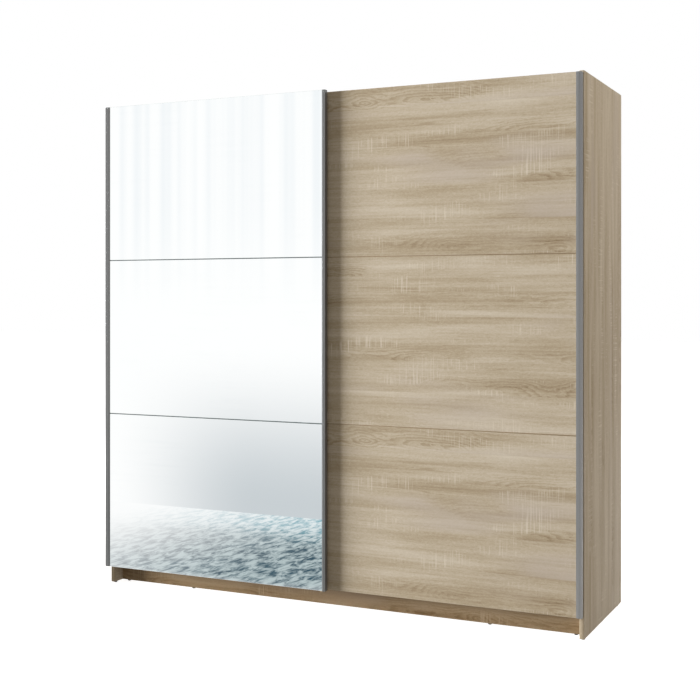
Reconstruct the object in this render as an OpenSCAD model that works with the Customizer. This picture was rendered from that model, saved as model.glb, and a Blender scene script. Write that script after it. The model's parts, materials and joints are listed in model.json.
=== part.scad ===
/* [Carcase] */
// Width over the two side panels
body_w = 2124; // [1900:4:2300]
// Height from the floor to the top of the side panels
body_h = 2100; // [1950:10:2200]
// Depth of the side panels
side_d = 605; // [560:5:620]
// Thickness of the carcase boards
board_t = 18; // [16:1:19]
// Thickness of the nailed back panels
back_t = 3; // [2.5:0.5:4]
// Height of the plinth boards
plinth_h = 75; // [60:5:90]
// Distance from the side panels' front edges to the plinth
plinth_setback = 60; // [50:5:90]
// Height of a floor glide
glide_h = 5; // [3:1:8]
// Diameter of a floor glide
glide_d = 14; // [10:1:16]

/* [Doors] */
// Thickness of a door panel: the laminated board, or the backing board and its mirror
door_t = 16; // [14:1:18]
// Thickness of a mirror pane
pane_t = 4; // [3:1:5]
// How far the two closed doors overlap at the middle
overlap = 40; // [30:5:60]
// Distance from a closed door's outer edge to the carcase's outer face
door_inset = 3; // [2:1:6]
// Height of the seam between two boards
seam_h = 3; // [2:0.5:4]
// Free gap between a door and what it slides past
running_gap = 2.8; // [2:0.1:4]

/* [Grip profiles] */
// Face width of a grip profile at a door's outer edge
outer_grip_w = 22; // [16:1:26]
// Face width of a grip profile at a door's meeting edge
inner_grip_w = 15; // [11:1:18]
// How far a grip profile stands proud of the door's face
grip_proud = 4; // [2:0.5:5]
// Wall of a grip profile at the door's edge
grip_wall = 1.6; // [1.2:0.1:2.5]
// Thickness of a grip profile's back lip
back_lip_t = 1.2; // [1:0.1:1.4]

/* [Running gear] */
// Outer diameter of a roller
roller_d = 26; // [24:1:28]
// Running diameter at the bottom of a roller's groove
groove_d = 23; // [21:0.5:24]
// Width of a roller
roller_w = 9; // [8:0.5:10]
// Diameter of a roller's axle
axle_d = 6; // [5:0.5:7]
// Thickness of the rail's two running ribs
rib_t = 2.4; // [2:0.2:3]
// Thickness of the hanger plates
plate_t = 2.5; // [2:0.5:3]
// Width of a hanger plate
hanger_w = 70; // [60:5:90]
// Distance from a door's edge to the middle of its hanger
hanger_inset = 90; // [80:5:140]

/* [Interior] */
// Height of the hat shelves' undersides
hat_shelf_z = 1780; // [1650:10:1850]
// Distance from the side panels' front edges to the shelves' front edges
shelf_setback = 60; // [50:5:120]
// Diameter of a shelf pin
pin_d = 5; // [4:1:6]
// Height of the hanging rail's oval tube
tube_h = 30; // [25:1:32]
// Width of the hanging rail's oval tube
tube_w = 15; // [12:1:16]

/* [Hidden] */
$fn = 48;

oak = [0.70, 0.62, 0.50];
oak_shade = [0.60, 0.52, 0.40];
metal_grey = [0.48, 0.48, 0.47];
mirror_grey = [0.86, 0.90, 0.92];
seam_brown = [0.36, 0.29, 0.20];
zinc = [0.72, 0.74, 0.76];
plastic_black = [0.10, 0.10, 0.10];
hdf_white = [0.90, 0.89, 0.86];
beech = [0.78, 0.62, 0.42];

// Depth: the doors hang in front of the side panels, one behind the other
layer_d = grip_proud + door_t + back_lip_t + running_gap;
total_d = 2 * layer_d + side_d + back_t;
face_y = -total_d / 2 + 2 * layer_d;
rear_y = face_y + side_d;
oak_face_y = face_y - layer_d + grip_proud;
mirror_face_y = oak_face_y - layer_d;

// Heights
plinth_top = glide_h + plinth_h;
floor_top = plinth_top + board_t;
ceiling_z = body_h - board_t;
oak_gaps = [6, 7];
mirror_gaps = [3, 1];
oak_z = [plinth_top + oak_gaps[0], body_h - oak_gaps[1]];
mirror_z = [plinth_top + mirror_gaps[0], body_h - mirror_gaps[1]];
panel_count = 3;
mean_z = (oak_z + mirror_z) / 2;
seam_z = [for (i = [1 : panel_count - 1]) round(mean_z[0] + i * (mean_z[1] - mean_z[0]) / panel_count)];

// Widths
half_w = body_w / 2;
inner_x = half_w - board_t;
part_x = board_t / 2;
oak_x = [-overlap / 2, half_w - door_inset];
mirror_x = [-oak_x[1], -oak_x[0]];
oak_hangers = [oak_x[0] + hanger_inset, oak_x[1] - hanger_inset];
mirror_hangers = [for (x = oak_hangers) -x];

// Top rail: two upright ribs carry the rollers
axle_drop = 26.5;
axle_z = body_h - axle_drop;
roller_gap = 0.3;
bore_play = 0.05;
end_play = 0.5;
rib_h = 12;
rib_play = 1;
rib_setback = 13;
rib_pitch = 18;
rib_top = axle_z - groove_d / 2 - roller_gap;
oak_rib_y = face_y + rib_setback;
mirror_rib_y = oak_rib_y + rib_pitch;
rail_setback = 3;
rail_d = 42;
rail_wall = 2.5;
rail_lip = [2, 8];
rail_drop = 3;
rail_z = rib_top - rib_h;
rail_front_y = face_y + rail_setback;
rail_rear_y = rail_front_y + rail_d;
partition_gap = 1;
rail_screw_z = ceiling_z + board_t / 2;
rail_screw_end = 54;
rail_screws_x = [for (i = [-3 : 3]) i * (inner_x - rail_screw_end) / 3];
stop_l = 14;
stop_h = 24;

// Hangers: plates behind the doors, axles riveted into them
plate_drop = 46;
plate_rise = 12;
arm_w = 44;
arm_gap = 1.5;
arm_z = oak_z[1] + arm_gap;
leg_drop = 9;
leg_y = mirror_rib_y + roller_w / 2 + end_play;
washer_t = 1;
rivet_d = axle_d + 3;
collar_d = axle_d + 4;
screw_drops = [18, 36];
screw_spread = 0.34;

// Screws
screw_d = 4;
rail_screw_l = 25;
guide_screw_l = 20;
oak_screw_l = 13;
mirror_screw_l = 10;

// Bottom guide: two fins in the grooves under the doors
groove_w = 5;
groove_h = 14;
liner_t = 0.8;
fin_t = 2.6;
fin_l = 14;
fin_reach = 10;
guide_t = 3;
guide_w = 60;
guide_y = [face_y + 12, face_y + 50];
guide_tip = 5;
guide_screw_x = 20;
oak_mid_y = oak_face_y + door_t / 2;
mirror_mid_y = mirror_face_y + (door_t + pane_t) / 2;

// Knock-down fittings, each [face, depth, height] of the seat in the standing board
cam_d = 15;
cam_h = 12.5;
cam_reach = 34;
cam_play = 2;
cross_cut = [8, 2, 2];
bolt_d = 6;
bolt_in = 11;
bolt_head = [1.6, 4];
dowel_d = 8;
dowel_in = 10;
dowel_out = 19;
dowel_step = 32;
fitting_y = [face_y + 110, rear_y - 70];
plinth_dowel_z = [25, 55];
plinth_dowel_in = 12;
hat_mid = hat_shelf_z + board_t / 2;
side_ends = [[plinth_top + board_t / 2, -1], [ceiling_z + board_t / 2, 1], [hat_mid, -1]];
part_ends = [[hat_mid, -1]];

// Shelves and pins
shelf_front = face_y + shelf_setback;
shelf_gap = 5;
shelf_rear = rear_y - shelf_gap;
shelf_count = 4;
shelf_step = (hat_shelf_z - floor_top) / (shelf_count + 1);
shelf_play = 1;
pin_in = 8;
pin_out = 9;
pin_inset = [40, 60];
pin_y = [shelf_front + pin_inset[0], shelf_rear - pin_inset[1]];
pin_pitch = 32;

// Hanging rail
tube_shift = 20;
tube_drop = 62;
tube_y = face_y + side_d / 2 + tube_shift;
tube_z = hat_shelf_z - tube_drop;
tube_wall = 1.2;
holder_t = 9;
holder_floor = 2;
holder_rim = 5;

// Back panels, split at mid height
split_z = 1100;
back_gaps = [10, 5];
back_z = [plinth_top + back_gaps[0], body_h - back_gaps[1]];
back_strip = [7, 1];

// Nails along the rear edges of the boards that carry the back
nail_d = 1.6;
nail_l = 18;
nail_head_t = 0.6;
nail_step = 240;
nail_inset = 4;
nail_margin = 40;
nail_start = 120;
nail_heights = [for (z = [back_z[0] + nail_margin : nail_step : back_z[1] - nail_margin]) z];
nail_rows = [for (x = [nail_start : nail_step : inner_x - nail_margin]) x];

// Wall brackets
bracket_x = 700;
bracket_t = 2.5;
bracket_w = 40;
bracket_leg = 40;
wall_hole_d = 5.5;
wall_hole_drop = 25;
wall_hole_z = ceiling_z - wall_hole_drop;

// Glides: under the side panels, both plinth boards and the braces
brace_x = [-520, 0, 520];
plinth_rear_setback = 35;
plinth_front_y = face_y + plinth_setback;
plinth_rear_y = rear_y - plinth_rear_setback;
glide_y = [face_y + 20, rear_y - 52];
plinth_glides_x = [-inner_x + 30, -675, 675, inner_x - 30];
glide_edge = 1;
glide_nail_d = 2.4;
glide_nail_l = 12;

// Joint strips between a door's boards
strip_recess = 1;
strip_flange = 8;

// Grip profile: corner cut, sloping share of the face, lip height, back lip width, fine line
grip_edge = 1;
grip_slope = 0.35;
grip_lip = 1.2;
back_lip_w = 10;
grip_line_d = 0.8;

// How far a cut runs past the surface that it opens
over = 1;

// A box between two corners
module box(lo, hi) {
    translate(lo) cube([hi[0] - lo[0], hi[1] - lo[1], hi[2] - lo[2]]);
}

// A cylinder lying along X or along Y
module rod_x(d, from, to, y, z) {
    translate([from, y, z]) rotate([0, 90, 0]) cylinder(d = d, h = to - from);
}
module rod_y(d, from, to, x, z) {
    translate([x, from, z]) rotate([-90, 0, 0]) cylinder(d = d, h = to - from);
}

// A countersunk screw whose head is flush with y = 0 and whose shank runs along +Y
module flat_screw(d, l) {
    rotate([-90, 0, 0]) cylinder(d1 = 2 * d, d2 = d, h = d / 2);
    rotate([-90, 0, 0]) cylinder(d = d, h = l);
}

// Places its children at every cam fitting of a board's end: X points into the board
module at_board_end(face_x, side, ends) {
    for (e = ends, y = fitting_y)
        translate([face_x, y, e[0]]) mirror([side > 0 ? 1 : 0, 0, 0])
            mirror([0, 0, e[1] < 0 ? 1 : 0]) children();
}
module at_side_ends() {
    for (s = [-1, 1]) at_board_end(s * inner_x, s, side_ends) children();
    for (s = [-1, 1]) at_board_end(s * part_x, -s, part_ends) children();
}

// The partition stands between two lying boards, so its fittings point up and down
module at_partition_ends() {
    for (y = fitting_y) {
        translate([0, y, floor_top]) rotate([0, -90, 0]) children();
        translate([0, y, ceiling_z]) rotate([0, 90, 0]) children();
    }
}
module at_fittings() {
    at_side_ends() children();
    at_partition_ends() children();
}

// One cam, one bolt and one dowel, with the joint's face at x = 0 and the board's end at x > 0
module cam() {
    difference() {
        translate([cam_reach, 0, board_t / 2 - cam_h]) cylinder(d = cam_d, h = cam_h);
        rod_x(bolt_d + cam_play, cam_reach - cam_d, cam_reach + cam_play, 0, 0);
        for (turn = [0, 90])
            translate([cam_reach, 0, board_t / 2 - cross_cut[2] / 2 + over / 2]) rotate([0, 0, turn])
                cube([cross_cut[0], cross_cut[1], cross_cut[2] + over], center = true);
    }
}
module cam_bolt() {
    rod_x(bolt_d - 1, -bolt_in, 0, 0, 0);
    rod_x(bolt_d, 0, cam_reach - bolt_head[1], 0, 0);
    rod_x(bolt_d + bolt_head[0], cam_reach - bolt_head[1], cam_reach, 0, 0);
}
module dowel() {
    rod_x(dowel_d, -dowel_in, dowel_out, dowel_step, 0);
}

// What the fittings take out of the boards
module fitting_cut() {
    translate([cam_reach, 0, board_t / 2 - cam_h]) cylinder(d = cam_d, h = cam_h + over);
    rod_x(bolt_d + cam_play, 0, cam_reach + cam_play, 0, 0);
    rod_x(bolt_d - 1, -bolt_in, 0, 0, 0);
    dowel();
}

// Nails through the back panels
module nail(x, z) {
    rod_y(nail_d, rear_y - nail_l, rear_y + back_t, x, z);
    rod_y(2 * nail_d, rear_y + back_t - nail_head_t, rear_y + back_t, x, z);
}
module back_nails() {
    color(zinc) {
        for (s = [-1, 1], x = [part_x - nail_inset, half_w - board_t / 2], z = nail_heights) nail(s * x, z);
        for (s = [-1, 1], x = nail_rows, z = [floor_top - nail_inset, back_z[1] - nail_inset]) nail(s * x, z);
    }
}

// Shelf pins, and the spare holes above and below each
module pin_row(d, from_wall, reach, offsets) {
    for (i = [1 : shelf_count], y = pin_y, k = offsets) {
        z = floor_top + i * shelf_step - board_t / 2 - pin_d / 2 + k * pin_pitch;
        rod_x(d, part_x - from_wall, part_x + reach, y, z);
        rod_x(d, inner_x - reach, inner_x + from_wall, y, z);
    }
}
module shelf_pins() {
    color(zinc) pin_row(pin_d, pin_in, pin_out, [0]);
}
module pin_holes() {
    pin_row(pin_d, pin_in, 0, [-1, 0, 1]);
}

// Glide places under the side panels, the plinth boards and the braces
glides = concat(
    [for (s = [-1, 1], y = glide_y) [s * (half_w - board_t / 2), y]],
    [for (x = plinth_glides_x) [x, plinth_front_y + board_t / 2]],
    [for (x = plinth_glides_x) [x, plinth_rear_y + board_t / 2]],
    [for (x = brace_x) [x, (face_y + rear_y) / 2]]
);
module glide_nails() {
    for (g = glides) translate([g[0], g[1], glide_h]) cylinder(d = glide_nail_d, h = glide_nail_l);
}
module floor_glides() {
    color(plastic_black) {
        for (g = glides) translate([g[0], g[1], 0]) {
            cylinder(d1 = glide_d - 2 * glide_edge, d2 = glide_d, h = glide_edge);
            translate([0, 0, glide_edge]) cylinder(d = glide_d, h = glide_h - glide_edge);
        }
        glide_nails();
    }
}

// Carcase boards
module side_left() {
    color(oak) difference() {
        box([-half_w, face_y, glide_h], [-inner_x, rear_y, body_h]);
        at_board_end(-inner_x, -1, side_ends) fitting_cut();
        plinth_dowels();
        back_nails();
        glide_nails();
    }
}
module side_right() {
    color(oak) difference() {
        box([inner_x, face_y, glide_h], [half_w, rear_y, body_h]);
        at_board_end(inner_x, 1, side_ends) fitting_cut();
        plinth_dowels();
        pin_holes();
        back_nails();
        glide_nails();
    }
}
module top_panel() {
    color(oak) difference() {
        box([-inner_x, rail_rear_y, ceiling_z], [inner_x, rear_y, body_h]);
        at_fittings() fitting_cut();
        back_nails();
        top_rail_screws();
    }
}
module bottom_panel() {
    color(oak) difference() {
        box([-inner_x, face_y, plinth_top], [inner_x, rear_y, floor_top]);
        at_fittings() fitting_cut();
        back_nails();
        floor_guide_screws();
    }
}
module centre_partition() {
    color(oak) difference() {
        box([-part_x, rail_rear_y + partition_gap, floor_top], [part_x, rear_y, ceiling_z]);
        at_fittings() fitting_cut();
        pin_holes();
        back_nails();
    }
}
module hat_shelf(from, to) {
    color(oak) difference() {
        box([from, shelf_front, hat_shelf_z], [to, rear_y, hat_shelf_z + board_t]);
        at_side_ends() fitting_cut();
    }
}
module hat_shelf_left() { hat_shelf(-inner_x, -part_x); }
module hat_shelf_right() { hat_shelf(part_x, inner_x); }
module loose_shelf(i) {
    z = floor_top + i * shelf_step - board_t / 2;
    color(oak) box([part_x + shelf_play, shelf_front, z], [inner_x - shelf_play, shelf_rear, z + board_t]);
}
module shelf_right_1() { loose_shelf(1); }
module shelf_right_2() { loose_shelf(2); }
module shelf_right_3() { loose_shelf(3); }
module shelf_right_4() { loose_shelf(4); }

// Plinth
module plinth_dowels() {
    for (s = [-1, 1], y = [plinth_front_y, plinth_rear_y], z = plinth_dowel_z) {
        x = s * inner_x;
        rod_x(dowel_d, x - plinth_dowel_in, x + plinth_dowel_in, y + board_t / 2, glide_h + z);
    }
}
module plinth_front() {
    color(oak_shade) difference() {
        box([-inner_x, plinth_front_y, glide_h], [inner_x, plinth_front_y + board_t, plinth_top]);
        plinth_dowels();
        glide_nails();
    }
}
module plinth_rear() {
    color(oak_shade) difference() {
        box([-inner_x, plinth_rear_y, glide_h], [inner_x, plinth_rear_y + board_t, plinth_top]);
        plinth_dowels();
        glide_nails();
    }
}
module plinth_braces() {
    color(oak_shade) difference() {
        for (x = brace_x)
            box([x - board_t / 2, plinth_front_y + board_t, glide_h],
                [x + board_t / 2, plinth_rear_y, plinth_top]);
        glide_nails();
    }
}

// Back
module back_pair(z) {
    color(hdf_white) difference() {
        for (s = [-1, 1])
            mirror([s < 0 ? 1 : 0, 0, 0])
                box([seam_h / 2, rear_y, z[0]], [half_w, rear_y + back_t, z[1]]);
        back_nails();
        wall_holes();
    }
}
module back_panels_upper() { back_pair([split_z + seam_h / 2, back_z[1]]); }
module back_panels_lower() { back_pair([back_z[0], split_z - seam_h / 2]); }
module back_joint_strips() {
    color(hdf_white) for (s = [-1, 1]) {
        x = [s < 0 ? -inner_x : part_x, s < 0 ? -part_x : inner_x];
        box([x[0], rear_y, split_z - seam_h / 2], [x[1], rear_y + back_t, split_z + seam_h / 2]);
        box([x[0], rear_y - back_strip[1], split_z - back_strip[0]],
            [x[1], rear_y, split_z + back_strip[0]]);
    }
}
module wall_holes() {
    for (s = [-1, 1])
        rod_y(wall_hole_d, rear_y - bracket_t - over, rear_y + back_t + over, s * bracket_x, wall_hole_z);
}
module wall_brackets() {
    color(zinc) for (s = [-1, 1]) difference() {
        translate([s * bracket_x - bracket_w / 2, rear_y - bracket_leg, ceiling_z - bracket_leg])
            difference() {
                hollow = bracket_leg - bracket_t + over;
                cube([bracket_w, bracket_leg, bracket_leg]);
                translate([-over, -over, -over]) cube([bracket_w + 2 * over, hollow, hollow]);
            }
        wall_holes();
    }
}

// Fittings
module cam_locks() { color(zinc) at_fittings() cam(); }
module cam_bolts() { color(zinc) at_fittings() cam_bolt(); }
module dowels() {
    color(beech) {
        at_fittings() dowel();
        plinth_dowels();
    }
}

// Hanging rail in the left bay
module oval(w, h) {
    square([w, h - w], center = true);
    for (s = [-1, 1]) translate([0, s * (h - w) / 2]) circle(d = w);
}
module oval_bar(from, to, w, h) {
    translate([from, tube_y, tube_z]) rotate([90, 0, 90]) linear_extrude(to - from) oval(w, h);
}
module hanging_rail() {
    color("silver") difference() {
        oval_bar(-inner_x + holder_floor, -part_x - holder_floor, tube_w, tube_h);
        oval_bar(-inner_x, -part_x, tube_w - 2 * tube_wall, tube_h - 2 * tube_wall);
    }
}
module hanging_rail_holders() {
    color("silver") difference() {
        for (x = [[-inner_x, -inner_x + holder_t], [-part_x - holder_t, -part_x]])
            oval_bar(x[0], x[1], tube_w + holder_rim, tube_h + holder_rim);
        oval_bar(-inner_x + holder_floor, -part_x - holder_floor, tube_w, tube_h);
    }
}

// Top rail with its two running ribs, seen along X
module rail_section() {
    translate([rail_front_y, rail_z]) square([rail_rear_y - rail_front_y, rail_wall]);
    translate([rail_front_y, rail_z]) square(rail_lip);
    translate([rail_rear_y - rail_wall, rail_z]) square([rail_wall, body_h - rail_drop - rail_z]);
    rib_section(oak_rib_y);
    rib_section(mirror_rib_y);
}
module rib_section(y) {
    translate([y - rib_t / 2, rail_z]) square([rib_t, rib_top - rib_t / 2 - rail_z]);
    translate([y, rib_top - rib_t / 2]) circle(d = rib_t);
}
module top_rail() {
    color(metal_grey) difference() {
        translate([-inner_x, 0, 0]) rotate([90, 0, 90]) linear_extrude(2 * inner_x) rail_section();
        top_rail_screws();
    }
}
module top_rail_screws() {
    color(zinc) for (x = rail_screws_x)
        translate([x, rail_rear_y - rail_wall, rail_screw_z]) flat_screw(screw_d, rail_screw_l);
}
module track_stop(x, y) {
    difference() {
        translate([x, y - roller_w / 2, rail_z + rail_wall]) cube([stop_l, roller_w, stop_h]);
        translate([-inner_x, 0, 0]) rotate([90, 0, 90]) linear_extrude(2 * inner_x) rib_section(y);
    }
}
module track_stops() {
    reach = oak_hangers[1] + roller_d / 2 + end_play;
    color(plastic_black) for (y = [oak_rib_y, mirror_rib_y]) {
        track_stop(reach, y);
        track_stop(-reach - stop_l, y);
    }
}

// Floor guide at the middle: a base under the bottom panel and an arm with two fins
module floor_guide() {
    low = plinth_top - guide_t;
    color(seam_brown) difference() {
        union() {
            box([-guide_w / 2, guide_y[0], low], [guide_w / 2, guide_y[1], plinth_top]);
            box([-fin_l / 2, mirror_mid_y - guide_tip, low], [fin_l / 2, guide_y[0], plinth_top]);
            guide_fin(oak_mid_y, oak_z[0] + fin_reach);
            guide_fin(mirror_mid_y, mirror_z[0] + fin_reach);
        }
        floor_guide_screws();
    }
}
module guide_fin(y, top) {
    translate([0, y, plinth_top]) linear_extrude(top - plinth_top) {
        square([fin_l - fin_t, fin_t], center = true);
        for (s = [-1, 1]) translate([s * (fin_l - fin_t) / 2, 0]) circle(d = fin_t);
    }
}
module floor_guide_screws() {
    color(zinc) for (s = [-1, 1])
        translate([s * guide_screw_x, (guide_y[0] + guide_y[1]) / 2, plinth_top - guide_t])
            rotate([90, 0, 0]) flat_screw(screw_d, guide_screw_l);
}

// Door panels: board i of a door, counted from the bottom
function panel_span(z, i) = [
    i == 0 ? z[0] : seam_z[i - 1] + seam_h / 2,
    i == panel_count - 1 ? z[1] : seam_z[i] - seam_h / 2
];
module door_sheet(x, z, i, front, thick) {
    span = panel_span(z, i);
    box([x[0] + grip_wall, front, span[0]], [x[1] - grip_wall, front + thick, span[1]]);
}
module groove(x, y, z) {
    box([x[0], y - groove_w / 2, z - over], [x[1], y + groove_w / 2, z + groove_h]);
}
module groove_liner(x, y, z) {
    inner_w = groove_w - 2 * liner_t;
    color(plastic_black) difference() {
        box([x[0] + grip_wall, y - groove_w / 2, z], [x[1] - grip_wall, y + groove_w / 2, z + groove_h]);
        box([x[0], y - inner_w / 2, z - over], [x[1], y + inner_w / 2, z + groove_h - liner_t]);
    }
}
module oak_board(i) {
    color(oak) difference() {
        door_sheet(oak_x, oak_z, i, oak_face_y, door_t);
        if (i == 0) groove(oak_x, oak_mid_y, oak_z[0]);
        if (i == panel_count - 1) oak_hanger_screws();
    }
}
module oak_panel_bottom() { oak_board(0); }
module oak_panel_middle() { oak_board(1); }
module oak_panel_top() { oak_board(2); }
module mirror_board(i) {
    color(hdf_white) difference() {
        door_sheet(mirror_x, mirror_z, i, mirror_face_y + pane_t, door_t - pane_t);
        if (i == 0) groove(mirror_x, mirror_mid_y, mirror_z[0]);
        if (i == panel_count - 1) mirror_hanger_screws();
    }
}
module mirror_board_bottom() { mirror_board(0); }
module mirror_board_middle() { mirror_board(1); }
module mirror_board_top() { mirror_board(2); }
module mirror_pane(i) { color(mirror_grey) door_sheet(mirror_x, mirror_z, i, mirror_face_y, pane_t); }
module mirror_pane_bottom() { mirror_pane(0); }
module mirror_pane_middle() { mirror_pane(1); }
module mirror_pane_top() { mirror_pane(2); }
module oak_groove_liner() { groove_liner(oak_x, oak_mid_y, oak_z[0]); }
module mirror_groove_liner() { groove_liner(mirror_x, mirror_mid_y, mirror_z[0]); }

// T-shaped strips that close the seams between a door's boards
module joint_strips(x, face) {
    back = face + door_t;
    for (z = seam_z) {
        box([x[0] + grip_wall, face + strip_recess, z - seam_h / 2],
            [x[1] - grip_wall, back, z + seam_h / 2]);
        box([x[0] + outer_grip_w, back, z - strip_flange],
            [x[1] - outer_grip_w, back + back_lip_t, z + strip_flange]);
    }
}
module oak_joint_strips() { color(seam_brown) joint_strips(oak_x, oak_face_y); }
module mirror_joint_strips() { color(metal_grey) joint_strips(mirror_x, mirror_face_y); }

// Grip profiles: a channel over the board's edge, with a face that slopes down to the panel
module grip_section(w) {
    back = grip_proud + door_t;
    difference() {
        polygon([
            [0, grip_edge], [grip_edge, 0], [w * (1 - grip_slope), 0],
            [w, grip_proud - grip_lip], [w, grip_proud],
            [grip_wall, grip_proud], [grip_wall, back], [back_lip_w, back],
            [back_lip_w, back + back_lip_t], [0, back + back_lip_t]
        ]);
        translate([w / 2, 0]) circle(d = grip_line_d);
    }
}
module grip(x, side, face, z, w) {
    color(metal_grey) translate([x, face - grip_proud, z[0]]) mirror([side > 0 ? 1 : 0, 0, 0])
        linear_extrude(z[1] - z[0]) grip_section(w);
}
module mirror_grip_left() { grip(mirror_x[0], -1, mirror_face_y, mirror_z, outer_grip_w); }
module mirror_grip_right() { grip(mirror_x[1], 1, mirror_face_y, mirror_z, inner_grip_w); }
module oak_grip_left() { grip(oak_x[0], -1, oak_face_y, oak_z, inner_grip_w); }
module oak_grip_right() { grip(oak_x[1], 1, oak_face_y, oak_z, outer_grip_w); }

// Rollers turn about Y; the groove sits over a rib
module roller(x, y) {
    flank = (roller_d - groove_d) / 2;
    floor_w = rib_t + rib_play;
    color(plastic_black) translate([x, y, axle_z]) rotate([-90, 0, 0]) rotate_extrude($fn = 96) polygon([
        [axle_d / 2 + bore_play, -roller_w / 2], [roller_d / 2, -roller_w / 2],
        [roller_d / 2, -floor_w / 2 - flank / 2], [groove_d / 2, -floor_w / 2],
        [groove_d / 2, floor_w / 2], [roller_d / 2, floor_w / 2 + flank / 2],
        [roller_d / 2, roller_w / 2], [axle_d / 2 + bore_play, roller_w / 2]
    ]);
}
module oak_roller_left() { roller(oak_hangers[0], oak_rib_y); }
module oak_roller_right() { roller(oak_hangers[1], oak_rib_y); }
module mirror_roller_left() { roller(mirror_hangers[1], mirror_rib_y); }
module mirror_roller_right() { roller(mirror_hangers[0], mirror_rib_y); }

// Axles are riveted into the hanger plates
module oak_axles() {
    back = oak_face_y + door_t;
    near = oak_rib_y - roller_w / 2 - end_play;
    far = oak_rib_y + roller_w / 2 + end_play;
    color(zinc) for (x = oak_hangers) {
        rod_y(axle_d, back, far, x, axle_z);
        rod_y(collar_d, back + plate_t, near, x, axle_z);
        rod_y(rivet_d, far, far + washer_t, x, axle_z);
    }
}
module mirror_axles() {
    near = mirror_rib_y - roller_w / 2 - end_play;
    color(zinc) for (x = mirror_hangers) {
        rod_y(rivet_d, near - washer_t, near, x, axle_z);
        rod_y(axle_d, near, leg_y + plate_t, x, axle_z);
        rod_y(rivet_d, leg_y + plate_t, leg_y + plate_t + washer_t, x, axle_z);
    }
}

// Hangers of the oak door: flat plates behind the door
module hanger_screws(xs, plate_rear, l) {
    color(zinc) for (x = xs, s = [-1, 1], drop = screw_drops)
        translate([x + s * hanger_w * screw_spread, plate_rear, axle_z - drop])
            rotate([180, 0, 0]) flat_screw(screw_d, l);
}
module oak_hanger_screws() { hanger_screws(oak_hangers, oak_face_y + door_t + plate_t, oak_screw_l); }
module mirror_hanger_screws() {
    hanger_screws(mirror_hangers, mirror_face_y + door_t + plate_t, mirror_screw_l);
}
module oak_hanger(x) {
    back = oak_face_y + door_t;
    color(zinc) difference() {
        box([x - hanger_w / 2, back, axle_z - plate_drop],
            [x + hanger_w / 2, back + plate_t, axle_z + plate_rise]);
        oak_axles();
        oak_hanger_screws();
    }
}
module oak_hanger_left() { oak_hanger(oak_hangers[0]); }
module oak_hanger_right() { oak_hanger(oak_hangers[1]); }

// Hangers of the mirror door: a plate, an arm over the oak door and a leg down behind it
module mirror_hanger(x) {
    back = mirror_face_y + door_t;
    color(zinc) difference() {
        union() {
            box([x - hanger_w / 2, back, axle_z - plate_drop],
                [x + hanger_w / 2, back + plate_t, arm_z + plate_t]);
            box([x - arm_w / 2, back, arm_z], [x + arm_w / 2, leg_y + plate_t, arm_z + plate_t]);
            box([x - arm_w / 2, leg_y, axle_z - leg_drop],
                [x + arm_w / 2, leg_y + plate_t, arm_z + plate_t]);
        }
        mirror_axles();
        mirror_hanger_screws();
    }
}
module mirror_hanger_left() { mirror_hanger(mirror_hangers[1]); }
module mirror_hanger_right() { mirror_hanger(mirror_hangers[0]); }

side_left();
side_right();
top_panel();
bottom_panel();
centre_partition();
plinth_front();
plinth_rear();
plinth_braces();
back_panels_upper();
back_panels_lower();
back_joint_strips();
back_nails();
hat_shelf_left();
hat_shelf_right();
shelf_right_1();
shelf_right_2();
shelf_right_3();
shelf_right_4();
shelf_pins();
hanging_rail();
hanging_rail_holders();
cam_locks();
cam_bolts();
dowels();
floor_glides();
top_rail();
top_rail_screws();
track_stops();
floor_guide();
floor_guide_screws();
wall_brackets();
mirror_board_top();
mirror_board_middle();
mirror_board_bottom();
mirror_pane_top();
mirror_pane_middle();
mirror_pane_bottom();
mirror_grip_left();
mirror_grip_right();
mirror_joint_strips();
mirror_hanger_left();
mirror_hanger_right();
mirror_hanger_screws();
mirror_axles();
mirror_groove_liner();
mirror_roller_left();
mirror_roller_right();
oak_panel_top();
oak_panel_middle();
oak_panel_bottom();
oak_grip_left();
oak_grip_right();
oak_joint_strips();
oak_hanger_left();
oak_hanger_right();
oak_hanger_screws();
oak_axles();
oak_groove_liner();
oak_roller_left();
oak_roller_right();
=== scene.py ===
import json
import math

import bpy
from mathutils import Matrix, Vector


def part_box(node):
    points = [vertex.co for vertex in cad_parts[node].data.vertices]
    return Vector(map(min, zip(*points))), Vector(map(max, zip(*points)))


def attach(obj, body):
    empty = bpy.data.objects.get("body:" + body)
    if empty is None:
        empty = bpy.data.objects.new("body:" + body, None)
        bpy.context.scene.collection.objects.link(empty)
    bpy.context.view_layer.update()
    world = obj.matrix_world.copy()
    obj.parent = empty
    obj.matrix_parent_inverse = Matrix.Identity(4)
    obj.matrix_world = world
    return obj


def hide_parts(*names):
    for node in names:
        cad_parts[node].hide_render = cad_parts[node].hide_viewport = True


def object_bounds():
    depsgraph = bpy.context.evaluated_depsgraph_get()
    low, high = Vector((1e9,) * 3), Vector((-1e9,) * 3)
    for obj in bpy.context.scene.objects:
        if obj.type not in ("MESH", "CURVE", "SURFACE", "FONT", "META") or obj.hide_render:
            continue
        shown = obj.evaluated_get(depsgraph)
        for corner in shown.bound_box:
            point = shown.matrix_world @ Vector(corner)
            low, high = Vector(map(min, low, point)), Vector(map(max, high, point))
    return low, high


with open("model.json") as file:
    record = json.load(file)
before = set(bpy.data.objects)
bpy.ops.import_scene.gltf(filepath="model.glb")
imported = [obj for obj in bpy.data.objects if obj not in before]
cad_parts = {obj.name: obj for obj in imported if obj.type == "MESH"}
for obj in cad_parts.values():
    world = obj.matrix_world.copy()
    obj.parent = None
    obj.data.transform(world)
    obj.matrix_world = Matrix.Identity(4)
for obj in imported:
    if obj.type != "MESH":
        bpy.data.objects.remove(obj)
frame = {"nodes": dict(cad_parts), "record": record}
cadLow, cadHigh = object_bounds()
cadNodes = frame["nodes"]
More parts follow.
